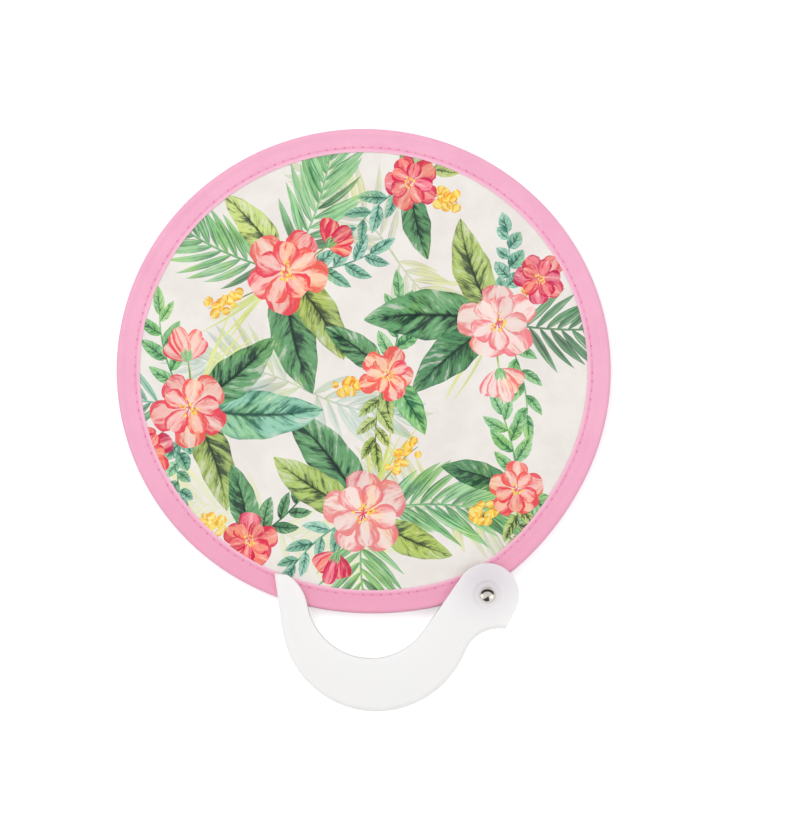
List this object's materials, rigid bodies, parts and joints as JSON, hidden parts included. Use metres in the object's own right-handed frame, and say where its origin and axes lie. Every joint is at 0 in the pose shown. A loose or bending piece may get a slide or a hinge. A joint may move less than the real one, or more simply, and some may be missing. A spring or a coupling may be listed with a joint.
{
  "type": "folding hand fan",
  "caption": "Round fabric hand fan: a sprung hoop bound in tape, riveted to a crescent pocket handle that it swings out of and that holds it when twisted small.",
  "frame": {"origin": "centre of the whole outline's box, on the surface that the handle's back face lies on", "axes": "+X to the right seen from the front, +Y up the disc away from the handle, +Z out of the front face"},
  "size_m": [0.2498, 0.2945, 0.0125],
  "materials": {
    "handle_plastic": "frosted, slightly translucent white moulding",
    "rivet_nickel": "bright nickel plate",
    "printed_fabric": "thin plain-weave polyester, printed on both faces",
    "pink_tape": "matt woven binding tape",
    "spring_steel": "drawn spring wire",
    "pink_strap": "matt woven strap"
  },
  "bodies": {
    "handle": {"handle": "handle_plastic", "rivet_post": "rivet_nickel", "rivet_cap": "rivet_nickel"},
    "disc": {"disc_fabric": "printed_fabric", "binding_tape": "pink_tape", "hoop_wire": "spring_steel", "hoop_ferrule": "spring_steel", "pivot_tab": "pink_strap", "tab_eyelet": "rivet_nickel"}
  },
  "joints": [
    {"name": "disc_swing", "type": "hinge", "parent": "handle", "child": "disc", "pos_m": [0.06254, -0.0883, 0.0054], "axis": [0, 0, -1], "range_deg": [0, 100]}
  ]
}
